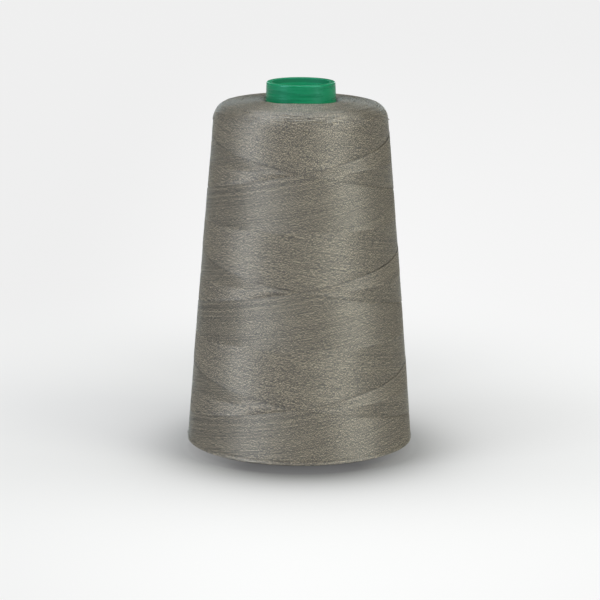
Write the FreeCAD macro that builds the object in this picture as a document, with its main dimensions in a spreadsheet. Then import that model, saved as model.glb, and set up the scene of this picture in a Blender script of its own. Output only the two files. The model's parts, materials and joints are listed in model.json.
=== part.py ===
"""Sewing-thread cone: a hollow moulded core with a cross-wound package of thread on it.

Millimetres. +Z is up, the origin is the centre of the circle that the core's foot stands on,
and -Y is the front, where the newest turns cross.
"""
import FreeCAD, Part
import math
import os
import Sketcher

FULL_CIRCLE = 360.0
FULL_TURN = 2 * math.pi
BACK = math.pi / 2

# The driving dimensions. Lengths are millimetres and angles are degrees.
SIZES = {
    # moulded core
    "cone_height": 127.0,
    "cone_half_angle": 4.33,
    "wall": 1.6,
    "bore_radius": 9.75,
    "bore_land": 8.0,
    "land_relief": 1.2,
    "nose_wall": 1.9,
    "collar_height": 6.2,
    "collar_draft": 2.4,
    "lip_rounding": 1.0,
    "lip_bands": 4,
    "lip_chamfer": 0.4,
    "foot_height": 3.0,
    "foot_flange": 0.9,
    "foot_chamfer": 0.5,
    "notch_width": 2.4,
    "notch_depth": 2.0,
    # package of thread
    "package_base_radius": 38.7,
    "package_half_angle": 4.62,
    "package_top_rise": 3.4,
    "shoulder_radius": 5.8,
    "shoulder_bands": 6,
    "heel_chamfer": 0.8,
    # thread of the outer turns
    "thread_diameter": 0.3,
    "thread_sides": 3,
    "lay_clearance": 0.05,
    "crossing_gap": 0.45,
    "double_traverses": 2,
    "turns_per_double_traverse": 6,
    "base_margin": 1.9,
    "shoulder_margin": 5.0,
    "tail_spacing": 8.0,
}

doc = FreeCAD.newDocument("thread_cone")
sheet = doc.addObject("Spreadsheet::Sheet", "Sizes")
for row, (name, number) in enumerate(SIZES.items(), start=1):
    sheet.set(f"A{row}", name)
    sheet.set(f"B{row}", str(number))
    sheet.setAlias(f"B{row}", name)
doc.recompute()


def size(name):
    return float(sheet.get(name))


# Levels and radii that several pieces share, as expressions on the sheet.
COLLAR_FOOT_Z = "(Sizes.cone_height - Sizes.collar_height)"
COLLAR_TOP_RADIUS = "(Sizes.bore_radius + Sizes.nose_wall)"
COLLAR_FOOT_RADIUS = f"({COLLAR_TOP_RADIUS} + Sizes.collar_height * tan(Sizes.collar_draft))"
LAND_END_Z = "(Sizes.cone_height - Sizes.bore_land)"
STACK = "(Sizes.lay_clearance + 2 * Sizes.thread_diameter + Sizes.crossing_gap)"
BODY_BASE_RADIUS = f"(Sizes.package_base_radius - {STACK})"
SIDE_SLOPE = "tan(Sizes.package_half_angle)"
TOP_SLOPE = "tan(Sizes.package_top_rise)"


def core_radius(z):
    """Radius of the core's outer cone at the height z."""
    return f"({COLLAR_FOOT_RADIUS} + ({COLLAR_FOOT_Z} - ({z})) * tan(Sizes.cone_half_angle))"


def inner_radius(z):
    """Radius of the core's inner cone at the height z, one wall inside the outer cone."""
    return f"({core_radius(z)} - Sizes.wall / cos(Sizes.cone_half_angle))"


# The side line of the package and its slightly rising top meet at this corner before it is rounded.
CORNER_Z = (
    f"(({COLLAR_FOOT_Z} - {TOP_SLOPE} * ({BODY_BASE_RADIUS} + Sizes.foot_height * {SIDE_SLOPE}"
    f" - {COLLAR_FOOT_RADIUS})) / (1 - {SIDE_SLOPE} * {TOP_SLOPE}))"
)


def package_radius(z):
    """Radius of the package's body at the height z."""
    return f"({BODY_BASE_RADIUS} - ({z} - Sizes.foot_height) * {SIDE_SLOPE})"


def new_body(label):
    body = doc.addObject("PartDesign::Body", label)
    body.Label = label
    return body


def origin_plane(body, role):
    return next(item for item in body.Origin.OriginFeatures if item.Role == role)


def new_profile(body, name, corners):
    """A closed sketch of straight lines in the XZ plane, each corner tied to two expressions."""
    sketch = body.newObject("Sketcher::SketchObject", name)
    sketch.AttachmentSupport = [(origin_plane(body, "XZ_Plane"), "")]
    sketch.MapMode = "FlatFace"
    places = [
        FreeCAD.Vector(float(sketch.evalExpression(x)), float(sketch.evalExpression(z)), 0)
        for x, z in corners
    ]
    count = len(corners)
    for i in range(count):
        sketch.addGeometry(Part.LineSegment(places[i], places[(i + 1) % count]), False)
    for i in range(count):
        sketch.addConstraint(Sketcher.Constraint("Coincident", i, 2, (i + 1) % count, 1))
    for i, (place, (x, z)) in enumerate(zip(places, corners)):
        for kind, value, text in (("DistanceX", place.x, x), ("DistanceY", place.y, z)):
            at = sketch.addConstraint(Sketcher.Constraint(kind, -1, 1, i, 1, value))
            sketch.renameConstraint(at, f"corner{i}_{kind[-1].lower()}")
            sketch.setExpression(f"Constraints.corner{i}_{kind[-1].lower()}", text)
    return sketch


def revolve(body, name, sketch):
    feature = body.newObject("PartDesign::Revolution", name)
    feature.Profile = sketch
    feature.ReferenceAxis = (sketch, ["V_Axis"])
    feature.Angle = FULL_CIRCLE
    sketch.Visibility = False
    doc.recompute()
    return feature


def rounded(corner, radius, first_angle, last_angle, bands):
    """Corners along a rounding of an outside corner, from one face's normal angle to the next face's."""
    x, z = corner
    count = int(size(bands))
    opening = f"(1 + cos({last_angle} - {first_angle}))"
    centre_x = f"({x} - {radius} * (cos({first_angle}) + cos({last_angle})) / {opening})"
    centre_z = f"({z} - {radius} * (sin({first_angle}) + sin({last_angle})) / {opening})"
    points = []
    for i in range(count + 1):
        angle = f"({first_angle} + ({last_angle} - {first_angle}) * {i} / {count})"
        points.append((f"{centre_x} + {radius} * cos{angle}", f"{centre_z} + {radius} * sin{angle}"))
    return points


def make_core():
    """The hollow moulded cone: foot flange, tapered wall, nose collar with a rounded lip, bore."""
    body = new_body("cone_core")
    relief_z = f"({LAND_END_Z} - Sizes.land_relief)"
    flange_radius = f"({core_radius('0')} + Sizes.foot_flange)"
    lip_corner = (COLLAR_TOP_RADIUS, "Sizes.cone_height")
    lip_radius = "min(Sizes.lip_rounding; 0.6 * Sizes.nose_wall)"
    sketch = new_profile(
        body,
        "wall_profile",
        [
            (f"{flange_radius} - Sizes.foot_chamfer", "0"),
            (flange_radius, "Sizes.foot_chamfer"),
            (flange_radius, "Sizes.foot_height"),
            (core_radius("Sizes.foot_height"), "Sizes.foot_height"),
            (COLLAR_FOOT_RADIUS, COLLAR_FOOT_Z),
            *rounded(lip_corner, lip_radius, "Sizes.collar_draft", "90", "lip_bands"),
            ("Sizes.bore_radius + Sizes.lip_chamfer", "Sizes.cone_height"),
            ("Sizes.bore_radius", "Sizes.cone_height - Sizes.lip_chamfer"),
            ("Sizes.bore_radius", LAND_END_Z),
            (inner_radius(relief_z), relief_z),
            (inner_radius("0"), "0"),
        ],
    )
    revolve(body, "wall", sketch)
    cut_notch(body, flange_radius)
    return body


def cut_notch(body, flange_radius):
    """A V notch through the back of the foot, where the thread's first end is caught."""
    before = body.Shape.Volume
    sketch = new_profile(
        body,
        "notch_profile",
        [
            ("-Sizes.notch_width / 2", "0"),
            ("Sizes.notch_width / 2", "0"),
            ("0", "Sizes.notch_depth"),
        ],
    )
    pocket = body.newObject("PartDesign::Pocket", "thread_notch")
    pocket.Profile = sketch
    pocket.Type = 0
    pocket.setExpression("Length", f"{flange_radius} + Sizes.foot_flange")
    pocket.Reversed = False
    sketch.Visibility = False
    doc.recompute()
    if body.Shape.Volume >= before:
        raise RuntimeError("the notch in the foot cuts nothing")


def make_package():
    """The body of the package: every layer under the outer turns, wound tight on the core."""
    body = new_body("thread_winding")
    shoulder = rounded(
        (package_radius(CORNER_Z), CORNER_Z),
        "Sizes.shoulder_radius",
        "Sizes.package_half_angle",
        "(90 - Sizes.package_top_rise)",
        "shoulder_bands",
    )
    heel_z = "(Sizes.foot_height + Sizes.heel_chamfer)"
    sketch = new_profile(
        body,
        "package_profile",
        [
            (core_radius("Sizes.foot_height"), "Sizes.foot_height"),
            (f"{package_radius(heel_z)} - Sizes.heel_chamfer", "Sizes.foot_height"),
            (package_radius(heel_z), heel_z),
            *shoulder,
            (COLLAR_FOOT_RADIUS, COLLAR_FOOT_Z),
        ],
    )
    revolve(body, "package", sketch)
    return body


class Lay:
    """Where the thread lies on the package: angles from +X towards +Y, heights above the body's surface.

    The thread always winds the same way round. It climbs on the low layer, turns back below the shoulder,
    comes down over itself on the high layer and turns back again above the heel.
    """

    # the share of a turn in which the thread turns back
    REVERSAL = 0.25

    def __init__(self):
        self.thread = size("thread_diameter")
        self.slant = math.radians(size("package_half_angle"))
        self.base_z = size("foot_height")
        self.base_radius = float(sheet.evalExpression(BODY_BASE_RADIUS))
        self.low_layer = size("lay_clearance") + self.thread / 2
        self.high_layer = self.low_layer + self.thread + size("crossing_gap")
        self.count = int(size("double_traverses"))
        self.turns = size("turns_per_double_traverse") - 1 / self.count
        side_top = float(sheet.evalExpression(CORNER_Z)) - size("shoulder_radius")
        self.valley_z = self.base_z + size("base_margin")
        self.peak_z = side_top - size("shoulder_margin")
        # a reversal stops short of where straight legs would meet, by this share of the lead
        short = self.REVERSAL / 4
        self.lead = (self.peak_z - self.valley_z) / (self.turns / 2 - 2 * short)
        self.rounding = self.lead * short

    def frame(self, angle):
        """Outward, tangential and normal directions at an angle."""
        outward = FreeCAD.Vector(math.cos(angle), math.sin(angle), 0)
        along = FreeCAD.Vector(-math.sin(angle), math.cos(angle), 0)
        normal = outward * math.cos(self.slant) + FreeCAD.Vector(0, 0, math.sin(self.slant))
        return outward, along, normal

    def place(self, angle, z, height):
        """A point above the body's surface."""
        outward, _, normal = self.frame(angle)
        radius = self.base_radius - (z - self.base_z) * math.tan(self.slant)
        return outward * radius + FreeCAD.Vector(0, 0, z) + normal * height

    def height_above(self, point):
        """How far a point lies above the body's surface."""
        beyond = math.hypot(point.x, point.y) - self.base_radius
        return beyond * math.cos(self.slant) + (point.z - self.base_z) * math.sin(self.slant)

    def heading(self, angle, z, height, rise):
        """Unit direction of a thread that winds towards smaller angles and rises so much a turn."""
        outward, along, _ = self.frame(angle)
        point = self.place(angle, z, height)
        around = math.hypot(point.x, point.y) * FULL_TURN
        way = along * -around + FreeCAD.Vector(0, 0, rise) - outward * (rise * math.tan(self.slant))
        return way.normalize()

    def stations(self):
        """Places and headings along the thread, one each quarter turn or so, from first end to last."""
        half_way = self.turns / 2
        leg = half_way - self.REVERSAL
        steps = max(1, round(leg * 4))
        up = (self.valley_z + self.rounding, self.lead, self.low_layer)
        down = (self.peak_z - self.rounding, -self.lead, self.high_layer)
        found = []
        for k in range(2 * self.count):
            first_turn = k * half_way + self.REVERSAL / 2
            first_z, rise, height = down if k % 2 else up
            for i in range(steps + 1):
                angle = BACK - FULL_TURN * (first_turn + leg * i / steps)
                z = first_z + rise * leg * i / steps
                found.append((self.place(angle, z, height), self.heading(angle, z, height, rise)))
        return found


def biarc(start, start_way, end, end_way):
    """Two arcs that leave start along start_way, meet smoothly and reach end along end_way."""
    span = end - start
    ways = start_way + end_way
    spread = 2 * (1 - start_way.dot(end_way))
    reach = (-span.dot(ways) + math.sqrt(span.dot(ways) ** 2 + spread * span.dot(span))) / spread
    joint = (start + end + (start_way - end_way) * reach) / 2
    return [arc(start, start_way, joint), reversed_arc(end, end_way, joint)]


def arc_middle(start, way, end):
    """The middle point and radius of the arc from start, leaving along way, to end."""
    chord = end - start
    side = chord - way * chord.dot(way)
    side.normalize()
    radius = chord.dot(chord) / (2 * chord.dot(side))
    centre = start + side * radius
    out = (start + end) / 2 - centre
    out.normalize()
    return centre + out * radius, radius


def arc(start, way, end):
    middle, radius = arc_middle(start, way, end)
    return Part.Arc(start, middle, end).toShape(), radius


def reversed_arc(end, way, start):
    """The arc from start to end that arrives along way."""
    middle, radius = arc_middle(end, way, start)
    return Part.Arc(start, middle, end).toShape(), radius


def thread_path(lay):
    """The whole route of the outer turns, with its radii: each end comes square out of the package."""
    stations = lay.stations()
    valley_radius = math.hypot(*list(lay.place(BACK, lay.valley_z, lay.high_layer))[:2])
    edges, radii = [], []

    def add(pieces):
        for edge, radius in pieces:
            edges.append(edge)
            radii.append(radius)

    def end_of_thread(angle):
        """Where a square end leaves the surface, ends its straight and lies down along the surface."""
        _, along, normal = lay.frame(angle)
        root = lay.place(angle, lay.valley_z, 0)
        straight = root + normal * lay.thread
        bend = lay.high_layer - lay.thread
        return root, straight, normal, along, bend

    root, straight, normal, along, bend = end_of_thread(BACK)
    laid = straight + normal * bend - along * bend
    edges.append(Part.LineSegment(root, straight).toShape())
    add([arc(straight, normal, laid)])
    add(biarc(laid, along * -1, *stations[0]))
    for (here, way), (there, next_way) in zip(stations, stations[1:]):
        add(biarc(here, way, there, next_way))
    tail = BACK + size("tail_spacing") / valley_radius
    last_root, last_straight, last_normal, last_along, bend = end_of_thread(tail)
    last_laid = last_straight + last_normal * bend + last_along * bend
    here, way = stations[-1]
    add(biarc(here, way, last_laid, last_along * -1))
    add([reversed_arc(last_straight, last_normal * -1, last_laid)])
    edges.append(Part.LineSegment(last_straight, last_root).toShape())
    return Part.Wire(edges), radii, root, normal


def make_turns():
    """The outer turns: one unbroken thread, each leg down lying over the legs up."""
    lay = Lay()
    path, radii, root, normal = thread_path(lay)
    _, along, _ = lay.frame(BACK)
    across = normal.cross(along)
    sides = int(size("thread_sides"))
    corners = []
    for i in range(sides + 1):
        turned = FULL_TURN * i / sides
        corners.append(root + (along * math.cos(turned) + across * math.sin(turned)) * (lay.thread / 2))
    section = Part.makePolygon(corners)
    turns = doc.addObject("Part::Feature", "outer_turns")
    turns.Label = "outer_turns"
    turns.Shape = path.makePipeShell([section], True, False)
    turns.Placement = FreeCAD.Placement()
    report_turns(lay, path, radii, turns.Shape)
    return turns


def report_turns(lay, path, radii, solid):
    """Prints what the thread measures, with its least gap to itself on points along its line."""
    step = lay.thread / 2
    points = path.discretize(Distance=step)
    cell = 2 * (lay.thread + size("crossing_gap"))
    apart = math.ceil(4 * cell / step)
    cells = {}
    least = math.inf
    for i, p in enumerate(points):
        home = (math.floor(p.x / cell), math.floor(p.y / cell), math.floor(p.z / cell))
        for dx in (-1, 0, 1):
            for dy in (-1, 0, 1):
                for dz in (-1, 0, 1):
                    for j in cells.get((home[0] + dx, home[1] + dy, home[2] + dz), ()):
                        if i - j > apart:
                            least = min(least, p.distanceToPoint(points[j]))
        cells.setdefault(home, []).append(i)
    least -= lay.thread
    between_ends = [lay.height_above(p) for p in points[2 * apart : -2 * apart]]
    sides = int(size("thread_sides"))
    section = sides / 2 * math.sin(FULL_TURN / sides) * (lay.thread / 2) ** 2
    print(f"outer turns: {lay.count * lay.turns:.2f} loops, lead {lay.lead:.2f} mm")
    print(f"outer turns: length {path.Length:.1f} mm, radii {min(radii):.2f} to {max(radii):.2f} mm")
    print(f"outer turns: volume {solid.Volume:.3f}, section times length {section * path.Length:.3f}")
    print(f"outer turns: least gap to itself {least:.3f} mm")
    print(f"outer turns: line lies {min(between_ends):.3f} to {max(between_ends):.3f} mm above the package")


def check_and_export(sub_parts):
    doc.recompute()
    for item in doc.Objects:
        if "Invalid" in item.State or "Error" in item.State:
            raise RuntimeError(f"{item.Label} failed: {item.State}")
    for item in sub_parts:
        if item.Shape.isNull() or not item.Shape.isValid():
            raise RuntimeError(f"{item.Label} has no valid shape")
    os.makedirs("parts", exist_ok=True)
    for item in sub_parts:
        item.Shape.exportStep(f"parts/{item.Label}.step")
        print(f"{item.Label}: volume {item.Shape.Volume:.1f} mm3, {len(item.Shape.Solids)} solid")


check_and_export([make_core(), make_package(), make_turns()])
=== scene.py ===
"""A cone of sewing thread, dressed for its picture, laid out as an add-on and run as a script.

Metres. +Z is up, the origin is the centre of the circle that the core stands on, and -Y is the front.
The package of thread is made the way a winder lays it. The thread always winds the same way round: it
climbs from the base to the shoulder in three turns, turns back and comes down in three more. Each double
traverse lands one thread beside the last, so after a round of them the pattern closes and the next
round starts on top. At any place the newest thread of the two directions hides the older ones, which
draws the crossing triangles on the package.
"""

import json
import math

import bmesh
import bpy
from bpy.props import FloatProperty, FloatVectorProperty, IntProperty, PointerProperty
from mathutils import Matrix, Vector


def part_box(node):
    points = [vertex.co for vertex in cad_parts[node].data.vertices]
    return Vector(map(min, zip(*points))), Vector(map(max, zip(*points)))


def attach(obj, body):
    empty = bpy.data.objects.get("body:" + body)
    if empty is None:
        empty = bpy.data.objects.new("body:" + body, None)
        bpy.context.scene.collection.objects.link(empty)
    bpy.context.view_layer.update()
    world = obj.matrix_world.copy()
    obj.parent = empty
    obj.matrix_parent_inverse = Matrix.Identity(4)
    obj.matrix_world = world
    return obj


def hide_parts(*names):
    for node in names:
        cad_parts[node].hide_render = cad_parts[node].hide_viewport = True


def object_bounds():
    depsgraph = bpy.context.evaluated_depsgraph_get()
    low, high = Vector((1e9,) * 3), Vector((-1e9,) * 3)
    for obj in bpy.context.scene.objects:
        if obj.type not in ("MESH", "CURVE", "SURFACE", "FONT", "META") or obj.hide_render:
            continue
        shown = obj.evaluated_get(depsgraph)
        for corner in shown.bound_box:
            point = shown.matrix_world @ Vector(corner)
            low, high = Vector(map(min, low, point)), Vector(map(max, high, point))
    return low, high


bl_info = {
    "name": "Thread cone",
    "version": (1, 0, 0),
    "blender": (4, 5, 0),
    "location": "3D View > Sidebar > Thread cone",
    "description": "Builds a cross-wound cone of sewing thread around its fixed frame",
    "category": "Add Mesh",
}

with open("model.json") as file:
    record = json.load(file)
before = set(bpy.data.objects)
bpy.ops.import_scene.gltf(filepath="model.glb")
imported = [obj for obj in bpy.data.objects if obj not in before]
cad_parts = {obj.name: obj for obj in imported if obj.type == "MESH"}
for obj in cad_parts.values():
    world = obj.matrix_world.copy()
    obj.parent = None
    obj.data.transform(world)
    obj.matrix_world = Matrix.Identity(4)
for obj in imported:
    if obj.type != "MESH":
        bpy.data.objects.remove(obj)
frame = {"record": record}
cad_low, cad_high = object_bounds()
core_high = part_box("cone_core")[1]
winding_low, winding_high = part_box("thread_winding")
nose_bore = next(mount for mount in frame["record"]["mounts"] if mount["name"] == "nose_bore")

FULL_TURN = 2 * math.pi
GOLDEN_SHARE = (math.sqrt(5) - 1) / 2
ROOT = "root"


def count(name, description, default):
    return IntProperty(name=name, description=description, default=default)


def amount(name, description, default):
    return FloatProperty(name=name, description=description, default=default)


def length(name, description, default):
    """A length in metres."""
    return FloatProperty(name=name, description=description, default=default, unit="LENGTH", precision=5)


def degrees(name, description, default):
    """An angle, given in degrees and kept in radians."""
    turn = math.radians(default)
    return FloatProperty(name=name, description=description, default=turn, subtype="ANGLE")


def colour(name, description, default):
    """A colour, red, green and blue, in linear light."""
    return FloatVectorProperty(name=name, description=description, default=default, subtype="COLOR")


class CoreSettings(bpy.types.PropertyGroup):
    """Sizes and colour of the moulded core"""

    half_angle: degrees("Cone angle", "Slope of the core's wall", 4.33)
    wall: length("Wall", "Thickness of the core's wall", 0.0016)
    bore_radius: length("Bore radius", "Radius of the nose bore", nose_bore["dims"]["r_mm"] / 1000)
    bore_length: length("Bore length", "Length of the nose bore", nose_bore["dims"]["length_mm"] / 1000)
    nose_wall: length("Nose wall", "Thickness of the nose collar", 0.0019)
    collar_draft: degrees("Collar draft", "Slope of the nose collar", 2.4)
    lip_rounding: length("Lip rounding", "Radius of the collar's outer rim", 0.0005)
    bore_rounding: length("Bore rounding", "Radius of the collar's inner rim", 0.0004)
    relief: length("Relief", "Height of the step under the nose bore", 0.0012)
    foot_height: length("Foot height", "Height of the flange at the foot", winding_low.z)
    foot_rounding: length("Foot rounding", "Radius of the flange's edges", 0.0005)
    notch_width: length("Notch width", "Width of the notch that catches the thread's first end", 0.0024)
    notch_depth: length("Notch depth", "Depth of that notch", 0.0020)
    ring_pitch: length("Ring pitch", "Distance between the faint mould rings on the collar", 0.00105)
    ring_depth: length("Ring depth", "Depth of those rings", 0.000009)
    tint: colour("Colour", "Colour of the moulded plastic", (0.0065, 0.24, 0.102))


class PackageSettings(bpy.types.PropertyGroup):
    """Outline of the wound package, over the crowns of the newest threads"""

    base_radius: length("Base radius", "Radius at the lower end", 0.03878)
    sag: length("Sag", "How far the lower end hangs below the core's flange", 0.00045)
    half_angle: degrees("Half angle", "Slope of the side", 4.62)
    top_rise: degrees("Top rise", "Slope of the upper end towards the collar", 5.0)
    top_lift: length("Top lift", "How far the newest arcs stand above the frame's winding", 0.00035)
    shoulder_radius: length("Shoulder radius", "Rounding between side and upper end", 0.0058)
    heel_radius: length("Heel radius", "Rounding between side and lower end", 0.0020)
    lean: length("Lean", "How much higher the left shoulder is than the middle", 0.00016)
    groove_width: length("Groove width", "Width of the hollow round the collar", 0.0022)
    groove_depth: length("Groove depth", "Depth of that hollow", 0.0030)
    belly: length("Belly", "How far the side swells at half height", 0.0002)


class ThreadSettings(bpy.types.PropertyGroup):
    """The thread and how it is laid"""

    diameter: length("Diameter", "Thickness of the thread", 0.00032)
    lead: length("Lead", "Height that the thread climbs in one turn", 0.0391)
    crossing_height: length("Crossing height", "Height of the lowest crossing at the front", 0.0220)
    half_turns: count("Half turns", "Half turns from one end to the other", 6)
    per_round: count("Threads per round", "Threads side by side in one lead", 124)
    build: length("Build", "How much the newest thread lies above the oldest that shows", 0.00015)
    reversal: amount("Reversal", "Half of a turning back, in turns", 0.045)
    wander: length("Wander", "How far a thread strays from its place", 0.00005)
    lift: length("Lift", "How much threads differ in height", 0.00006)
    step: length("Step", "Length of one straight piece of a thread", 0.0021)
    sides: count("Sides", "Sides of a thread's section", 7)
    twist_pitch: length("Twist pitch", "Length of one turn of the thread's plies", 0.00085)
    twist_cells: amount("Twist cells", "Changes in the plies' twist in a metre", 500.0)
    slub_cells: amount("Slub cells", "Thick and thin places in a metre", 3500.0)
    fibre_cells: amount("Fibre cells", "Light and dark fibres in a metre", 4100.0)
    light_tint: colour("Light colour", "Colour of the thread's bulk", (0.492, 0.424, 0.313))
    # painted shade: the dark colour is the low end of the thread's grain, and stands for the shade
    # between its plies and on the older layers under the newest threads
    dark_and_shade_tint: colour("Dark colour", "Colour between its plies", (0.012, 0.0105, 0.008))


class StageSettings(bpy.types.PropertyGroup):
    """Camera, lamps and floor"""

    camera_distance: length("Camera distance", "Distance in front of the object", 0.9299)
    camera_height: length("Camera height", "Height above the floor", 0.2488)
    camera_pitch: degrees("Camera pitch", "Tilt below the horizon", 11.983)
    camera_roll: degrees("Camera roll", "Tilt about the line of sight", 0.26)
    lens: amount("Lens", "Focal length in millimetres", 165.95)
    floor_tint: colour("Floor colour", "Colour of the floor", (0.9, 0.9, 0.9))
    near_share: amount("Near share", "Share of even tone close to the foot", 0.8)
    bounce_tint: colour("Bounce colour", "Colour of what the floor sends back", (0.5, 0.5, 0.5))
    front_tint: colour("Front colour", "Colour that the floor fades to in front", (0.952, 0.952, 0.952))
    back_tint: colour("Back colour", "Colour that the floor fades to behind", (0.866, 0.866, 0.866))
    lamp_distance: length("Lamp distance", "Distance from the object to each lamp", 2.4)
    side_power: amount("Side lamps", "Power of the left lamp in watts; the right has 0.96 of it", 48.0)
    front_power: amount("Front lamp", "Power of the lamp in front in watts", 7.0)
    top_power: amount("Top lamp", "Power of the lamp overhead in watts", 20.0)
    rim_power: amount("Rim lamps", "Power of the lamp behind on the right; the left has 1.2 of it", 5.0)
    surround: amount("Surround", "Strength of the light from all round", 0.08)


class Value:
    """A socket that takes part in arithmetic: each step adds one Math node to its tree."""

    def __init__(self, graph, socket):
        self.graph = graph
        self.socket = socket

    def __add__(self, other):
        return self.graph.math("ADD", self, other)

    def __sub__(self, other):
        return self.graph.math("SUBTRACT", self, other)

    def __rsub__(self, other):
        return self.graph.math("SUBTRACT", other, self)

    def __mul__(self, other):
        return self.graph.math("MULTIPLY", self, other)

    def __truediv__(self, other):
        return self.graph.math("DIVIDE", self, other)

    def __neg__(self):
        return self.graph.math("MULTIPLY", self, -1.0)

    __radd__ = __add__
    __rmul__ = __mul__

    def sin(self):
        return self.graph.math("SINE", self)

    def cos(self):
        return self.graph.math("COSINE", self)

    def exp(self):
        return self.graph.math("EXPONENT", self)

    def root(self):
        return self.graph.math("SQRT", self)

    def floor(self):
        return self.graph.math("FLOOR", self)

    def fraction(self):
        return self.graph.math("FRACT", self)

    def least(self, other):
        return self.graph.math("MINIMUM", self, other)

    def most(self, other):
        return self.graph.math("MAXIMUM", self, other)


class Graph:
    """A node tree that is filled by one method."""

    def __init__(self, tree):
        self.tree = tree

    @staticmethod
    def find(sockets, key):
        if isinstance(key, int):
            return sockets[key]
        return next(socket for socket in sockets if socket.enabled and socket.name == key)

    def add(self, kind, settings=None, sockets=None, output=0):
        """Adds a node: its settings first, then a value or a link for each socket; gives one output."""
        node = self.tree.nodes.new(kind)
        for name, value in (settings or {}).items():
            setattr(node, name, value)
        for key, value in (sockets or {}).items():
            self.plug(self.find(node.inputs, key), value)
        return Value(self, self.find(node.outputs, output))

    def plug(self, socket, value):
        if isinstance(value, Value):
            self.tree.links.new(value.socket, socket)
        else:
            socket.default_value = value

    def math(self, operation, *values):
        return self.add("ShaderNodeMath", {"operation": operation}, dict(enumerate(values)))

    def vector(self, x, y, z):
        return self.add("ShaderNodeCombineXYZ", {}, {"X": x, "Y": y, "Z": z})

    def mix(self, share, first, second):
        """A colour between two colours."""
        sockets = {"Factor": share, "A": first, "B": second}
        return self.add("ShaderNodeMix", {"data_type": "RGBA"}, sockets, "Result")


class Recipe(Graph):
    """A Geometry Nodes tree with named inputs, which ends in Realize Instances and Set Material."""

    KINDS = {"float": "NodeSocketFloat", "int": "NodeSocketInt", "material": "NodeSocketMaterial"}

    def __init__(self, name, inputs):
        super().__init__(bpy.data.node_groups.new(name, "GeometryNodeTree"))
        self.inputs = inputs
        for label, (kind, _) in inputs.items():
            self.tree.interface.new_socket(label, in_out="INPUT", socket_type=self.KINDS[kind])
        self.tree.interface.new_socket("Geometry", in_out="OUTPUT", socket_type="NodeSocketGeometry")
        self.given = self.tree.nodes.new("NodeGroupInput")

    def __getitem__(self, label):
        return Value(self, self.find(self.given.outputs, label))

    def random(self, low, high, item, seed):
        """A random number for each item."""
        sockets = {"Min": low, "Max": high, "ID": item, "Seed": seed}
        return self.add("FunctionNodeRandomValue", {"data_type": "FLOAT"}, sockets, "Value")

    def noise(self, place, scale):
        """A smooth random number about 0, within half either way."""
        sockets = {"Vector": place, "Scale": scale, "Detail": 1.0}
        return self.add("ShaderNodeTexNoise", {}, sockets) - 0.5

    def store(self, geometry, name, value, kind="FLOAT", domain="POINT"):
        """Keeps a value on the geometry under a name."""
        settings = {"data_type": kind, "domain": domain}
        sockets = {"Geometry": geometry, "Name": name, "Value": value}
        return self.add("GeometryNodeStoreNamedAttribute", settings, sockets)

    def stored(self, name):
        return self.add("GeometryNodeInputNamedAttribute", {"data_type": "FLOAT"}, {"Name": name})

    def lay(self, cloud, strip, share):
        """Joins the points of each strip in order and lays a thread along it."""
        sockets = {"Points": cloud, "Curve Group ID": strip, "Weight": share}
        strips = self.add("GeometryNodePointsToCurves", {}, sockets)
        sockets = {"Curve": strips, "Length": self["Step"]}
        even = self.add("GeometryNodeResampleCurve", {"mode": "LENGTH"}, sockets)
        self.close(self.tubes(even, self["Diameter"] * 0.5, self["Sides"]))

    def tubes(self, strips, radius, sides):
        """Round threads along strips; their UV map holds metres along and the share of the way round."""
        upright = self.add("GeometryNodeSetCurveNormal", {"mode": "Z_UP"}, {"Curve": strips})
        ring = {"Resolution": sides, "Radius": radius}
        circle = self.add("GeometryNodeCurvePrimitiveCircle", {}, ring)
        share = self.add("GeometryNodeSplineParameter", output="Factor")
        section = self.store(circle, "around", share)
        sockets = {"Curve": upright, "Profile Curve": section, "Fill Caps": True}
        skin = self.add("GeometryNodeCurveToMesh", {}, sockets)
        place = self.vector(self.stored("along"), self.stored("around"), 0.0)
        return self.store(skin, "UVMap", place, "FLOAT2", "CORNER")

    def close(self, geometry):
        """Smooth, realised and painted, the geometry leaves the tree."""
        sockets = {"Geometry": geometry, "Shade Smooth": True}
        smooth = self.add("GeometryNodeSetShadeSmooth", {}, sockets)
        real = self.add("GeometryNodeRealizeInstances", {}, {"Geometry": smooth})
        sockets = {"Geometry": real, "Material": self["Material"]}
        painted = self.add("GeometryNodeSetMaterial", {}, sockets)
        end = self.tree.nodes.new("NodeGroupOutput")
        self.tree.links.new(painted.socket, end.inputs[0])

    def make(self, name, **changes):
        """A plain mesh object made by this tree, with some of its inputs changed."""
        carrier = bpy.data.objects.new("carrier", bpy.data.meshes.new("carrier"))
        bpy.context.scene.collection.objects.link(carrier)
        modifier = carrier.modifiers.new("recipe", "NODES")
        modifier.node_group = self.tree
        wanted = {label: value for label, (_, value) in self.inputs.items()}
        wanted.update({key.replace("_", " "): value for key, value in changes.items()})
        for item in self.tree.interface.items_tree:
            if item.in_out == "INPUT":
                modifier[item.identifier] = wanted[item.name]
        seen = carrier.evaluated_get(bpy.context.evaluated_depsgraph_get())
        mesh = bpy.data.meshes.new_from_object(seen)
        mesh.name = name
        bpy.data.objects.remove(carrier)
        return add_piece(name, mesh)


def rounding(corner, radius, first, last, steps):
    """Points of an arc about a centre, from one angle to another in degrees."""
    x, z = corner
    points = []
    for i in range(steps + 1):
        angle = math.radians(first + (last - first) * i / steps)
        points.append((x + radius * math.cos(angle), z + radius * math.sin(angle)))
    return points


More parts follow.
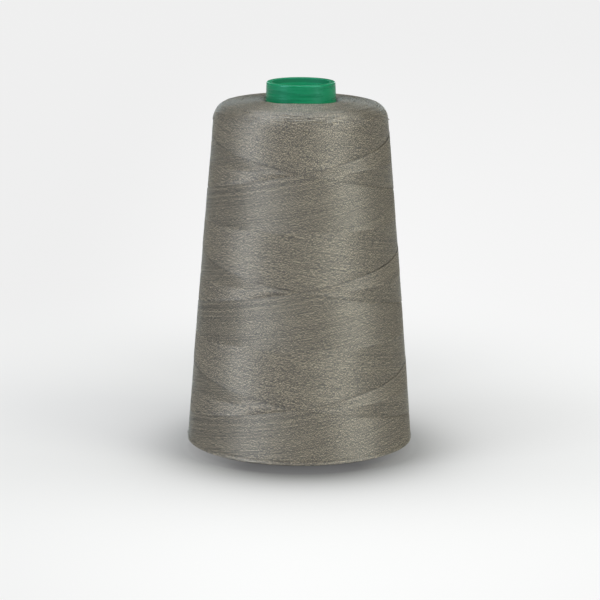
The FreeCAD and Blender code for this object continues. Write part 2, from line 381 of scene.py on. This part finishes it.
class Package:
    """The package's outline over the newest threads, worked out from its settings."""

    def __init__(self, package, core):
        self.base_z = winding_low.z - package.sag
        self.base_radius = package.base_radius
        self.slope = math.tan(package.half_angle)
        self.rise = math.tan(package.top_rise)
        self.belly = package.belly
        self.collar_z = winding_high.z + package.top_lift
        self.lean = package.lean
        self.groove_width = package.groove_width
        self.groove_depth = package.groove_depth
        flare = (core_high.z - winding_high.z) * math.tan(core.collar_draft)
        self.collar_radius = core.bore_radius + core.nose_wall + flare
        base = Vector((self.base_radius, self.base_z))
        collar = Vector((self.collar_radius, self.collar_z))
        # the shoulder's circle touches the side line and the top line from inside
        side = Vector((math.cos(package.half_angle), math.sin(package.half_angle)))
        top = Vector((math.sin(package.top_rise), math.cos(package.top_rise)))
        self.shoulder = package.shoulder_radius
        from_side = side.dot(base) - self.shoulder
        from_top = top.dot(collar) - self.shoulder
        self.shoulder_r, self.shoulder_z = Matrix((side, top)).inverted() @ Vector((from_side, from_top))
        self.side_end_z = self.shoulder_z + self.shoulder * side.y
        self.top_start_r = self.shoulder_r + self.shoulder * top.x
        # the heel's circle touches the side line and the lower end
        self.heel = package.heel_radius
        self.heel_z = self.base_z + self.heel
        self.heel_r = (side.dot(base) - self.heel - side.y * self.heel_z) / side.x

    def profile(self, inset, steps):
        """Points (radius, height) of the outline, set in by inset, from the lower end to the collar."""
        side_turn = math.degrees(math.atan(self.slope))
        top_turn = 90 - math.degrees(math.atan(self.rise))
        heel = (self.heel_r, self.heel_z)
        shoulder = (self.shoulder_r, self.shoulder_z)
        points = rounding(heel, self.heel - inset, -90, side_turn, steps)
        points += rounding(shoulder, self.shoulder - inset, side_turn, top_turn, steps)
        hollow_steps = 5
        for i in range(hollow_steps + 1):
            part = i / hollow_steps
            away = self.groove_width * (1 - part)
            dip = self.groove_depth * part**2
            points.append((self.collar_radius + away, self.collar_z - away * self.rise - dip - inset))
        return points


def add_piece(name, mesh):
    piece = bpy.data.objects.new(name, mesh)
    bpy.context.scene.collection.objects.link(piece)
    return piece


def settle(piece, slot, *nodes):
    """The piece rides on the row's one body and stands for its nodes; its slot is not used."""
    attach(piece, ROOT)
    if nodes:
        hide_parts(*nodes)


def lathe(name, profile, segments, closed):
    """Revolves points (radius, height) about the Z axis; closed joins the last point to the first."""
    rim = len(profile)
    points = []
    for i in range(segments):
        angle = FULL_TURN * i / segments
        points += [(r * math.cos(angle), r * math.sin(angle), z) for r, z in profile]
    faces = []
    for i in range(segments):
        here, there = i * rim, (i + 1) % segments * rim
        for j in range(rim if closed else rim - 1):
            k = (j + 1) % rim
            faces.append((here + j, there + j, there + k, here + k))
    mesh = bpy.data.meshes.new(name)
    mesh.from_pydata(points, [], faces)
    shape = bmesh.new()
    shape.from_mesh(mesh)
    bmesh.ops.recalc_face_normals(shape, faces=shape.faces)
    shape.to_mesh(mesh)
    shape.free()
    mesh.shade_smooth()
    return mesh


class Finish(Graph):
    """A material's node tree: one Principled shader and what feeds it."""

    def __init__(self, name, **constants):
        self.material = bpy.data.materials.new(name)
        self.material.use_nodes = True
        super().__init__(self.material.node_tree)
        self.shader = self.tree.nodes["Principled BSDF"]
        self.surface = Value(self, self.shader.outputs[0])
        for label, value in constants.items():
            self.shader.inputs[label.replace("_", " ")].default_value = value

    def feed(self, label, value):
        self.plug(self.shader.inputs[label], value)

    def ramp(self, value, low, high):
        """0 up to low, 1 from high on, and a smooth change between; low may be the larger one."""
        sockets = {"Value": value, "From Min": low, "From Max": high}
        return self.add("ShaderNodeMapRange", {"interpolation_type": "SMOOTHSTEP"}, sockets)

    def noise(self, place, scale, detail=2.0, roughness=0.5):
        sockets = {"Vector": place, "Scale": scale, "Detail": detail, "Roughness": roughness}
        return self.add("ShaderNodeTexNoise", {}, sockets)

    def bump(self, height, strength, distance):
        sockets = {"Strength": strength, "Distance": distance, "Height": height}
        self.feed("Normal", self.add("ShaderNodeBump", {}, sockets))


def spun_polyester(name, thread, gloss, index, contrast, level):
    """Thread spun from short fibres: plies that twist round each other, uneven in tone along the thread.

    Gloss and index set how much it shines, contrast how much its grain shows, and level its lightness.
    """
    finish = Finish(name, Metallic=gloss, Specular_IOR_Level=1.0, IOR=index)
    uv = finish.add("ShaderNodeUVMap", {"uv_map": "UVMap"})
    along = finish.add("ShaderNodeSeparateXYZ", {}, {"Vector": uv}, "X")
    around = finish.add("ShaderNodeSeparateXYZ", {}, {"Vector": uv}, "Y")
    tone = finish.add("ShaderNodeAttribute", {"attribute_name": "tone"}, output="Fac")
    pair = finish.add("ShaderNodeAttribute", {"attribute_name": "pair"}, output="Fac")
    side = finish.add("ShaderNodeAttribute", {"attribute_name": "side"}, output="Fac")
    edge = finish.add("ShaderNodeAttribute", {"attribute_name": "edge"}, output="Fac")
    # each noise runs along the thread, and what is added to it or set beside it keeps threads apart
    uneven = finish.noise(finish.vector(along * thread.twist_cells, tone * 53.0, 0.0), 1.0)
    turned = (along / thread.twist_pitch + around + uneven * 1.2 + tone * 31.0) * FULL_TURN
    plies = turned.sin() * 0.5 + 0.5
    # where one thread is light, the one beside it tends to be dark
    place = finish.vector(along * thread.slub_cells, pair * 7.3, around * 0.4)
    slubs = (finish.noise(place, 1.0, 0.0) - 0.5) * side
    place = finish.vector(along * thread.fibre_cells, tone * 197.0, around * 1.5)
    fibres = finish.noise(place, 1.0, 1.0) - 0.5
    # painted shade: the plies' stripes darken the colour in the grooves between the plies
    own, slub_gain, fibre_gain, ply_shade_gain, painted_shade_loss = 0.9, 9.0, 8.0, 0.4, 0.5
    grain = ((tone - 0.5) * own + slubs * slub_gain + fibres * fibre_gain) * contrast
    # painted shade: the newest thread is darkened as the shadow line where it lies over the older
    # threads
    bright = grain + plies * ply_shade_gain + level - edge * painted_shade_loss
    dark, light = (*thread.dark_and_shade_tint, 1.0), (*thread.light_tint, 1.0)
    finish.feed("Base Color", finish.mix(bright, dark, light))
    smooth, rough_slubs = 0.42, 0.16
    finish.feed("Roughness", slubs * rough_slubs + smooth)
    finish.bump(plies * 0.5 + slubs, 0.5, 0.00005)
    return finish.material


def wound_layers(thread):
    """The older layers of thread, painted dark as the shade that shows between the newest threads."""
    finish = Finish("wound_layers", Roughness=0.8)
    place = finish.add("ShaderNodeTexCoord", output="Object")
    mottle = finish.noise(place, 900.0)
    lightest = 5
    pale = tuple(lightest * part for part in thread.dark_and_shade_tint)
    # painted shade: the older layers are coloured between the dark colour and five times it
    finish.feed("Base Color", finish.mix(mottle, (*thread.dark_and_shade_tint, 1.0), (*pale, 1.0)))
    finish.bump(mottle, 0.4, 0.0001)
    return finish.material


def moulded_plastic(core):
    """Green polypropylene, smooth with a soft gloss and faint flow marks."""
    cool = (0.4, 0.95, 1.0, 1.0)
    finish = Finish("moulded_plastic", IOR=1.62, Specular_Tint=cool)
    place = finish.add("ShaderNodeTexCoord", output="Object")
    x = finish.add("ShaderNodeSeparateXYZ", {}, {"Vector": place}, "X")
    y = finish.add("ShaderNodeSeparateXYZ", {}, {"Vector": place}, "Y")
    z = finish.add("ShaderNodeSeparateXYZ", {}, {"Vector": place}, "Z")
    stretched = finish.add("ShaderNodeMapping", {}, {"Vector": place, "Scale": (60.0, 60.0, 900.0)})
    flow = finish.noise(stretched, 1.0, 3.0)
    streaks = finish.ramp(flow, 0.38, 0.62)
    # painted light: inside the bore the thick rim is painted a deeper colour as shade, and the thinner
    # wall under it is painted lighter as light coming through it
    outer, inner = core.bore_radius + 0.0006, core.bore_radius + 0.0001
    inside = finish.ramp((x * x + y * y).root(), outer, inner)
    under = finish.ramp(z, core_high.z - 0.0013, core_high.z - 0.0019)
    streak_and_shade_share, painted_glow_share = 0.78, 1.35
    deep = tuple(streak_and_shade_share * part for part in core.tint)
    thin = tuple(painted_glow_share * part for part in core.tint)
    # the flow marks' dark streaks use the same deep colour as the painted shade at the bore's rim
    wall = finish.mix(streaks, (*deep, 1.0), (*core.tint, 1.0))
    # painted light: the bore's wall is painted dark at the rim and light below it
    bore = finish.mix(under, (*deep, 1.0), (*thin, 1.0))
    finish.feed("Base Color", finish.mix(inside, wall, bore))
    smooth, streaky, dull_inside = 0.2, 0.16, 0.35
    finish.feed("Roughness", streaks * streaky + smooth + inside * dull_inside)
    finish.bump(flow, 0.6, 0.00012)
    return finish.material


def lay_recipe(thread, package):
    """The tree that lays one direction's threads: a strip for each thread in each half turn.

    A band is a half turn, and a strip is the part of it where that thread shows.
    """
    inputs = {
        "Climbing": ("int", 1),
        "First Band": ("int", 0),
        "Bands": ("int", thread.half_turns),
        "All Bands": ("int", thread.half_turns),
        "Threads": ("int", thread.per_round),
        "Points": ("int", 56),
        "Lead": ("float", thread.lead),
        "Crossing Height": ("float", thread.crossing_height),
        "Reversal": ("float", thread.reversal),
        "Diameter": ("float", thread.diameter),
        "Build": ("float", thread.build),
        "Wander": ("float", thread.wander),
        "Lift": ("float", thread.lift),
        "Tuck": ("float", 0.02),
        "Step": ("float", thread.step),
        "Sides": ("int", thread.sides),
        "Base Height": ("float", package.base_z),
        "Base Radius": ("float", package.base_radius),
        "Side Slope": ("float", package.slope),
        "Belly": ("float", package.belly),
        "Side End Height": ("float", package.side_end_z),
        "Shoulder Height": ("float", package.shoulder_z),
        "Shoulder Radius": ("float", package.shoulder),
        "Lean": ("float", package.lean),
        "Seed": ("int", 3),
        "Material": ("material", None),
    }
    g = Recipe("crossing_turns", inputs)
    index = g.add("GeometryNodeInputIndex")
    points, threads = g["Points"], g["Threads"]
    strip = ((index + 0.5) / points).floor()
    share = (index - strip * points) / (points - 1)
    band = ((strip + 0.5) / threads).floor()
    number = strip - band * threads
    band = band + g["First Band"]
    climbing = g["Climbing"]

    # a thread's age, from 0 for the newest; it shows for the rest of each half turn
    age = (number + 0.5) / threads
    reach = 1 - age + g["Tuck"] * 2
    part = age * climbing - g["Tuck"] + share * reach
    turns = (band - 1 + part) * 0.5
    angle = (age - (climbing * 2 - 1) * turns) * FULL_TURN

    def ripple(rate, apart, ways_apart):
        """Noise along a thread, rate cells a turn, other for each thread and for either direction."""
        return g.noise(g.vector(turns * rate, number * apart, climbing * ways_apart), 1.0)

    own = g.random(-0.5, 0.5, number, g["Seed"])
    slow = ripple(rate=9.0, apart=0.11, ways_apart=7.0)
    quick = ripple(rate=45.0, apart=3.7, ways_apart=5.0)
    own_share, quick_share = 0.6, 2.0
    stray = (own * own_share + slow + quick * quick_share) * g["Wander"]

    # the straight climb, rounded where it turns back at either end
    half = g["Reversal"]
    to_top = (g["All Bands"] - 1) * 0.5 - turns
    to_base = turns + 0.5
    over_top = (half - to_top).most(0.0)
    over_base = (half - to_base).most(0.0)
    rounded = turns + (over_base * over_base - over_top * over_top) / (half * 2)
    z = g["Crossing Height"] + rounded * g["Lead"] + stray

    # out to the package's outline at that height
    side_z = z.least(g["Side End Height"])
    arc_z = z.most(g["Side End Height"]) - g["Shoulder Height"]
    arc_r = (g["Shoulder Radius"] * g["Shoulder Radius"] - arc_z * arc_z).most(0.0).root()
    start_z = g["Side End Height"] - g["Shoulder Height"]
    start_r = (g["Shoulder Radius"] * g["Shoulder Radius"] - start_z * start_z).root()
    up_share = (side_z - g["Base Height"]) / (g["Side End Height"] - g["Base Height"])
    swell = up_share * (1 - up_share) * 4 * g["Belly"]
    radius = g["Base Radius"] - (side_z - g["Base Height"]) * g["Side Slope"] + swell + arc_r - start_r
    normal_z = arc_z / g["Shoulder Radius"]
    normal_r = (1 - normal_z * normal_z).root()

    # newer threads lie higher, and each strip tucks in where the newest crossing thread hides the rest
    from_start = climbing * share + (1 - climbing) * (1 - share)
    hidden = (1 - from_start * reach / (g["Tuck"] * 2)).most(0.0)
    meeting = (1 - (1 - from_start) * reach / g["Tuck"]).most(0.0)
    tuck_depth = 1.2
    tucked = (hidden + meeting) * g["Diameter"] * tuck_depth
    own_lift = g.random(-0.5, 0.5, strip, g["Seed"] + 1)
    waves = ripple(rate=50.0, apart=2.9, ways_apart=3.0)
    lift = (own_lift * 0.5 + waves * 3.0) * g["Lift"]
    height = lift - age * g["Build"] - tucked - g["Diameter"] * 0.5
    out = radius + normal_r * height
    lean = arc_z.most(0.0) / g["Shoulder Radius"] * angle.sin() * g["Lean"]
    place = g.vector(angle.sin() * out, -(angle.cos() * out), z + normal_z * height - lean)

    cloud = g.add("GeometryNodePoints", {}, {"Count": points * threads * g["Bands"], "Position": place})
    cloud = g.store(cloud, "along", angle * g["Base Radius"])
    cloud = g.store(cloud, "tone", g.random(0.0, 1.0, strip, g["Seed"] + 2))
    # neighbours make a pair, one on side 1 and one on side -1, and the newest thread of all has an edge,
    # painted dark as shade
    cloud = g.store(cloud, "pair", (number * 0.5).floor())
    cloud = g.store(cloud, "side", (number * 0.5).fraction() * 4 - 1)
    cloud = g.store(cloud, "edge", g.math("LESS_THAN", number, 0.5))
    g.lay(cloud, strip, share)
    return g


def end_recipe(thread, package):
    """The tree that covers one end of the package with the arcs in which older threads turned back."""
    round_shoulder = 0.86
    inputs = {
        "Arcs": ("int", 1250),
        "Points": ("int", 12),
        "Inner Radius": ("float", package.collar_radius + thread.diameter * 0.5),
        "Outer Radius": ("float", package.shoulder_r + package.shoulder * round_shoulder),
        "Face Height": ("float", package.collar_z),
        "Face Radius": ("float", package.collar_radius),
        "Face Slope": ("float", package.rise),
        "Rounding Start": ("float", package.top_start_r),
        "Rounding Centre": ("float", package.shoulder_r),
        "Rounding Radius": ("float", package.shoulder),
        "Upward": ("float", 1.0),
        "Lean": ("float", package.lean),
        "Groove Width": ("float", package.groove_width),
        "Groove Depth": ("float", package.groove_depth),
        "Half Length": ("float", 0.011),
        "Sag": ("float", 0.0011),
        "Diameter": ("float", thread.diameter),
        "Lift": ("float", 0.00013),
        "Step": ("float", thread.step),
        "Sides": ("int", thread.sides),
        "Seed": ("int", 5),
        "Material": ("material", None),
    }
    g = Recipe("end_arcs", inputs)
    index = g.add("GeometryNodeInputIndex")
    points = g["Points"]
    arc = ((index + 0.5) / points).floor()
    share = (index - arc * points) / (points - 1)
    across = share * 2 - 1

    # arcs are spread evenly over the area, each at its own place round the axis
    inner, outer = g["Inner Radius"], g["Outer Radius"]
    spread = ((arc + 0.5) * GOLDEN_SHARE).fraction()
    middle_r = (inner * inner + (outer * outer - inner * inner) * spread).root()
    middle_angle = g.random(0.0, FULL_TURN, arc, g["Seed"])
    half_length = g["Half Length"] * g.random(0.6, 1.4, arc, g["Seed"] + 1)
    tilt = g.random(-0.0004, 0.0004, arc, g["Seed"] + 2)
    angle = middle_angle + across * half_length / middle_r
    sag = g["Sag"] * g.random(0.2, 1.0, arc, g["Seed"] + 4)
    r = (middle_r + across * across * sag + across * tilt).most(inner)

    # down from the collar along the face, then round its edge
    face_r = r.least(g["Rounding Start"])
    edge_r = r.most(g["Rounding Start"]) - g["Rounding Centre"]
    first_r = g["Rounding Start"] - g["Rounding Centre"]
    whole = g["Rounding Radius"] * g["Rounding Radius"]
    drop = (whole - first_r * first_r).root() - (whole - edge_r * edge_r).most(0.0).root()
    face_z = g["Face Height"] - g["Upward"] * ((face_r - g["Face Radius"]) * g["Face Slope"] + drop)
    normal_r = edge_r / g["Rounding Radius"]
    normal_z = g["Upward"] * (1 - normal_r * normal_r).most(0.0).root()
    # both ends of an arc go down between its neighbours
    bow = across * across * across * across * 0.5
    height = g["Lift"] * (g.random(-0.5, 0.4, arc, g["Seed"] + 3) - bow) - g["Diameter"] * 0.5
    out = r + normal_r * height
    # the face dips into a hollow round the core, which closes in front, and leans a little
    into = (1 - (r - g["Face Radius"]) / g["Groove Width"]).most(0.0)
    open_share = (1 - angle.cos()).least(1.0)
    dip = into * into * open_share * g["Groove Depth"] + angle.sin() * g["Lean"] * r / g["Outer Radius"]
    place = g.vector(angle.sin() * out, -(angle.cos() * out), face_z + normal_z * height - dip)

    cloud = g.add("GeometryNodePoints", {}, {"Count": points * g["Arcs"], "Position": place})
    cloud = g.store(cloud, "along", angle * middle_r)
    cloud = g.store(cloud, "tone", g.random(0.0, 1.0, arc, g["Seed"] + 5))
    cloud = g.store(cloud, "pair", arc)
    cloud = g.store(cloud, "side", 1.0)
    g.lay(cloud, arc, share)
    return g


class THREADCONE_OT_core(bpy.types.Operator):
    """Builds the moulded core: foot, hollow cone, nose collar with its rounded rim and rings, bore"""

    bl_idname = "threadcone.core"
    bl_label = "Moulded core"

    def execute(self, context):
        core = context.scene.threadcone_core
        mesh = lathe("moulded_core", self.profile(core), 192, True)
        piece = add_piece("moulded_core", mesh)
        self.cut_notch(piece, core)
        piece.data.set_sharp_from_angle(angle=math.radians(35))
        piece.data.materials.append(moulded_plastic(core))
        settle(piece, "core_plastic", "cone_core")
        return {"FINISHED"}

    def profile(self, core):
        """The wall's outline: up the outside, over the rim and down the inside."""
        top = core_high.z
        flange = core_high.x
        slope = math.tan(core.half_angle)
        collar_slope = math.tan(core.collar_draft)
        collar_z = winding_high.z
        rim = core.bore_radius + core.nose_wall
        collar_foot = rim + (top - collar_z) * collar_slope
        inset = core.wall / math.cos(core.half_angle)
        land_z = top - core.bore_rounding - core.bore_length
        relief_z = land_z - core.relief
        edge = core.foot_rounding
        points = rounding((flange - edge, edge), edge, -90, 0, 4)
        points += rounding((flange - edge, core.foot_height - edge), edge, 0, 90, 4)
        points.append((collar_foot + (collar_z - core.foot_height) * slope, core.foot_height))
        lip = core.lip_rounding
        lip_z = top - lip
        rings = 40
        for i in range(rings):
            z = collar_z + (lip_z - collar_z) * i / rings
            fade = min(1.0, 5 * i / rings) * min(1.0, 5 * (rings - i) / rings)
            ripple = core.ring_depth * fade * math.sin(FULL_TURN * (z - collar_z) / core.ring_pitch)
            points.append((rim + (top - z) * collar_slope + ripple, z))
        points += rounding((rim - lip + lip * collar_slope, lip_z), lip, 0, 90, 10)
        inner = core.bore_rounding
        points += rounding((core.bore_radius + inner, top - inner), inner, 90, 180, 5)
        points.append((core.bore_radius, land_z))
        points.append((collar_foot + (collar_z - relief_z) * slope - inset, relief_z))
        points.append((collar_foot + collar_z * slope - inset, 0.0))
        return points

    def cut_notch(self, piece, core):
        """A V notch through the back of the foot."""
        half = core.notch_width / 2
        deep = core.notch_depth
        near, far = core_high.x * 0.5, core_high.x * 1.5
        points = []
        for y in (near, far):
            points += [(-half, y, -deep * 0.01), (half, y, -deep * 0.01), (0.0, y, deep)]
        faces = [(0, 2, 1), (3, 4, 5), (0, 1, 4, 3), (1, 2, 5, 4), (2, 0, 3, 5)]
        mesh = bpy.data.meshes.new("notch")
        mesh.from_pydata(points, [], faces)
        tool = add_piece("notch", mesh)
        cut = piece.modifiers.new("notch", "BOOLEAN")
        cut.operation = "DIFFERENCE"
        cut.object = tool
        seen = piece.evaluated_get(bpy.context.evaluated_depsgraph_get())
        shape = bpy.data.meshes.new_from_object(seen)
        piece.modifiers.clear()
        piece.data = shape
        bpy.data.objects.remove(tool)


class THREADCONE_OT_layers(bpy.types.Operator):
    """Builds the older layers of thread that lie under the newest ones"""

    bl_idname = "threadcone.layers"
    bl_label = "Wound layers"

    def execute(self, context):
        scene = context.scene
        thread = scene.threadcone_thread
        package = Package(scene.threadcone_package, scene.threadcone_core)
        profile = package.profile(thread.build + thread.diameter * 0.9, 10)
        slope = math.tan(scene.threadcone_core.half_angle)
        foot = package.collar_radius + (package.collar_z - package.base_z) * slope
        profile.append((foot, profile[0][1]))
        mesh = lathe("wound_layers", profile, 160, True)
        piece = add_piece("wound_layers", mesh)
        mesh.materials.append(wound_layers(thread))
        settle(piece, "thread", "thread_winding")
        return {"FINISHED"}


class THREADCONE_OT_turns(bpy.types.Operator):
    """Lays the newest round of thread, climbing and coming down"""

    bl_idname = "threadcone.turns"
    bl_label = "Crossing turns"

    def execute(self, context):
        scene = context.scene
        thread = scene.threadcone_thread
        package = Package(scene.threadcone_package, scene.threadcone_core)
        shine = {"gloss": 0.15, "index": 1.9}
        material = spun_polyester("spun_polyester", thread, contrast=0.88, level=-0.33, **shine)
        recipe = lay_recipe(thread, package)
        for climbing, way in ((1, "climbing"), (0, "descending")):
            for first in range(0, thread.half_turns, 2):
                piece = recipe.make(
                    f"{way}_turns_{first // 2 + 1}",
                    Climbing=climbing,
                    First_Band=first,
                    Bands=2,
                    Seed=11 + 7 * climbing,
                    Material=material,
                )
                settle(piece, "thread", "outer_turns")
        return {"FINISHED"}


class THREADCONE_OT_ends(bpy.types.Operator):
    """Covers both ends of the package with the arcs in which its threads turned back"""

    bl_idname = "threadcone.ends"
    bl_label = "End arcs"

    def execute(self, context):
        scene = context.scene
        thread = scene.threadcone_thread
        core = scene.threadcone_core
        package = Package(scene.threadcone_package, core)
        shine = {"gloss": 0.06, "index": 1.7}
        material = spun_polyester("spun_polyester_ends", thread, contrast=0.2, level=-0.04, **shine)
        recipe = end_recipe(thread, package)
        upper = recipe.make("upper_end_arcs", Material=material)
        settle(upper, "thread")
        # the lower end faces down and is flat, with no hollow round the core
        foot = package.collar_radius + (package.collar_z - package.base_z) * math.tan(core.half_angle)
        downward = {
            "Face_Height": package.base_z,
            "Face_Radius": foot,
            "Face_Slope": 0.0,
            "Rounding_Start": package.heel_r,
            "Rounding_Centre": package.heel_r,
            "Rounding_Radius": package.heel,
            "Upward": -1.0,
            "Lean": 0.0,
            "Groove_Depth": 0.0,
            "Material": material,
        }
        lower = recipe.make(
            "lower_end_arcs",
            Inner_Radius=foot + thread.diameter * 0.5,
            Outer_Radius=package.heel_r + package.heel * 0.98,
            Sag=0.0004,
            Seed=29,
            **downward,
        )
        settle(lower, "thread")
        heel = recipe.make(
            "heel_arcs",
            Arcs=300,
            Inner_Radius=package.heel_r,
            Outer_Radius=package.heel_r + package.heel * 0.97,
            Sag=0.0001,
            Lift=0.00008,
            Seed=43,
            **downward,
        )
        settle(heel, "thread")
        return {"FINISHED"}


class THREADCONE_OT_stage(bpy.types.Operator):
    """Sets up the camera, the lamps, the floor and the surround"""

    bl_idname = "threadcone.stage"
    bl_label = "Stage"

    def execute(self, context):
        stage = context.scene.threadcone_stage
        self.camera(context.scene, stage)
        self.lamps(stage)
        self.floor(stage)
        self.surround(context.scene, stage)
        context.scene.view_settings.view_transform = "Standard"
        return {"FINISHED"}

    def camera(self, scene, stage):
        data = bpy.data.cameras.new("camera")
        data.lens = stage.lens
        data.sensor_width = 36.0
        data.clip_start = 0.05
        data.clip_end = 20.0
        camera = bpy.data.objects.new("camera", data)
        scene.collection.objects.link(camera)
        place = Matrix.Translation((0.0, -stage.camera_distance, stage.camera_height))
        tilt = Matrix.Rotation(math.pi / 2 - stage.camera_pitch, 4, "X")
        roll = Matrix.Rotation(stage.camera_roll, 4, "Z")
        camera.matrix_world = place @ tilt @ roll
        scene.camera = camera

    def lamp(self, name, bearing, distance, size, power, tint):
        """An area lamp that faces the object, at an azimuth (0 in front, 90 right) and an elevation."""
        data = bpy.data.lights.new(name, "AREA")
        data.shape = "RECTANGLE"
        data.size, data.size_y = size
        data.energy = power
        data.color = tint
        lamp = bpy.data.objects.new(name, data)
        bpy.context.scene.collection.objects.link(lamp)
        turn, rise = (math.radians(part) for part in bearing)
        level = math.cos(rise)
        way = Vector((math.sin(turn) * level, -math.cos(turn) * level, math.sin(rise)))
        middle = (cad_low + cad_high) / 2
        lamp.location = middle + way * distance
        lamp.rotation_euler = way.to_track_quat("Z", "Y").to_euler()

    def lamps(self, stage):
        """Each lamp has a name, azimuth and elevation, width and height, power and tint."""
        side, rim = stage.side_power, stage.rim_power
        lamps = (
            ("front_lamp", (0, 40), (1.4, 1.0), stage.front_power, (1.0, 0.93, 0.83)),
            ("left_lamp", (-62, 33), (0.9, 2.2), side, (0.9, 0.93, 0.94)),
            ("right_lamp", (58, 33), (0.9, 2.2), side * 0.96, (0.965, 0.975, 0.88)),
            ("top_lamp", (180, 78), (1.1, 1.1), stage.top_power, (0.88, 0.97, 1.0)),
            ("left_rim_lamp", (-162, 12), (0.5, 1.5), rim * 1.2, (0.78, 0.94, 1.0)),
            ("right_rim_lamp", (165, 12), (0.5, 1.5), rim, (0.85, 0.97, 0.98)),
        )
        for name, bearing, size, power, tint in lamps:
            self.lamp(name, bearing, stage.lamp_distance, size, power, tint)

    def floor(self, stage):
        reach = 4.0
        mesh = bpy.data.meshes.new("floor")
        ways = ((-1, -1), (1, -1), (1, 1), (-1, 1))
        corners = [(x * reach, y * reach, 0.0) for x, y in ways]
        mesh.from_pydata(corners, [], [(0, 1, 2, 3)])
        floor = add_piece("floor", mesh)
        finish = Finish("floor", Roughness=0.9, Specular_IOR_Level=0.0)
        place = finish.add("ShaderNodeTexCoord", output="Object")
        across = finish.add("ShaderNodeSeparateXYZ", {}, {"Vector": place}, "X")
        depth = finish.add("ShaderNodeSeparateXYZ", {}, {"Vector": place}, "Y")
        seen = finish.add("ShaderNodeLightPath", output="Is Camera Ray")
        # what the floor sends back to the object is dimmer than what the camera sees of it
        finish.feed("Base Color", finish.mix(seen, (*stage.bounce_tint, 1.0), (*stage.floor_tint, 1.0)))
        # an even pale tone, a little darker at both sides, that changes from the front to the back
        black = (0.0, 0.0, 0.0, 1.0)
        side_width, left_loss, right_loss = 0.12, 0.098, 0.03
        aside = finish.ramp(-across, 0.0, side_width) * left_loss
        aside = aside + finish.ramp(across, 0.0, side_width) * right_loss
        front = finish.mix(aside, (*stage.front_tint, 1.0), black)
        front_y, back_y = -0.0821, 1.3559
        tint = finish.mix(finish.ramp(depth, front_y, back_y), front, (*stage.back_tint, 1.0))
        # painted shade: a soft patch of shade painted round the foot, over the lamps' own shadows
        foot_radius, close_reach, near_reach = 0.0411, 0.0144, 0.0167
        distance = (across * across + depth * depth).root()
        gap = (distance - foot_radius).most(0.0)
        ahead = -depth / distance
        close_depth = ahead * 0.053 + 0.122
        near_depth = ahead * ahead * 0.213 + across / distance * 0.036 + 0.35
        close = (-(gap * gap) / close_reach**2).exp() * close_depth
        near = (-gap / near_reach).exp() * near_depth
        behind = self.spot(across, depth, middle=0.0891, half_width=0.0812, half_depth=0.0812) * 0.312
        wide = self.spot(across, depth, middle=-0.0166, half_width=0.1604, half_depth=0.0661) * 0.154
        painted_shade_pool = close + near + behind + wide
        # under the package's front edge the painted shade is nearly even, and the lamps don't reach it
        under = finish.ramp(distance, 0.0415, 0.0365) * finish.ramp(ahead, 0.70, 0.93)
        even = 1.063 - distance * 6.4
        tone = finish.mix(painted_shade_pool * (1 - under) + even * under, tint, black)
        glow = finish.add("ShaderNodeEmission", {}, {"Color": tone, "Strength": 1.0})
        lit_from, lit_to = 0.30, 0.10
        lit = (1 - under) * finish.ramp(distance, lit_from, lit_to) * (1 - stage.near_share)
        share = 1 - lit
        both = finish.add("ShaderNodeMixShader", {}, {0: share * seen, 1: finish.surface, 2: glow})
        finish.plug(finish.tree.nodes["Material Output"].inputs["Surface"], both)
        mesh.materials.append(finish.material)

    def spot(self, across, depth, middle, half_width, half_depth):
        """1 in the middle of a soft oval on the floor, fading to 0 outside it."""
        x = across / half_width
        y = (depth - middle) / half_depth
        return (-(x * x + y * y)).exp()

    def surround(self, scene, stage):
        world = bpy.data.worlds.new("surround")
        world.use_nodes = True
        graph = Graph(world.node_tree)
        background = world.node_tree.nodes["Background"]
        background.inputs["Color"].default_value = (1.0, 1.0, 1.0, 1.0)
        seen = graph.add("ShaderNodeLightPath", output="Is Camera Ray")
        strength = seen * (stage.back_tint[0] - stage.surround) + stage.surround
        graph.plug(background.inputs["Strength"], strength)
        scene.world = world


class THREADCONE_PT_panel(bpy.types.Panel):
    """Lists the steps in the 3D view's sidebar"""

    bl_label = "Thread cone"
    bl_idname = "THREADCONE_PT_panel"
    bl_space_type = "VIEW_3D"
    bl_region_type = "UI"
    bl_category = "Thread cone"

    def draw(self, context):
        for step in STEPS:
            self.layout.operator(step.bl_idname)
        for label, _ in SETTINGS:
            box = self.layout.box()
            group = getattr(context.scene, label)
            for name in group.__annotations__:
                box.prop(group, name)


STEPS = (
    THREADCONE_OT_core,
    THREADCONE_OT_layers,
    THREADCONE_OT_turns,
    THREADCONE_OT_ends,
    THREADCONE_OT_stage,
)
SETTINGS = (
    ("threadcone_core", CoreSettings),
    ("threadcone_package", PackageSettings),
    ("threadcone_thread", ThreadSettings),
    ("threadcone_stage", StageSettings),
)


def register():
    for label, group in SETTINGS:
        bpy.utils.register_class(group)
        setattr(bpy.types.Scene, label, PointerProperty(type=group))
    for step in STEPS:
        bpy.utils.register_class(step)
    bpy.utils.register_class(THREADCONE_PT_panel)


def unregister():
    bpy.utils.unregister_class(THREADCONE_PT_panel)
    for step in reversed(STEPS):
        bpy.utils.unregister_class(step)
    for label, group in reversed(SETTINGS):
        delattr(bpy.types.Scene, label)
        bpy.utils.unregister_class(group)


def main():
    register()
    for step in STEPS:
        family, name = step.bl_idname.split(".")
        getattr(getattr(bpy.ops, family), name)()
    bpy.context.view_layer.update()


if __name__ == "__main__":
    main()
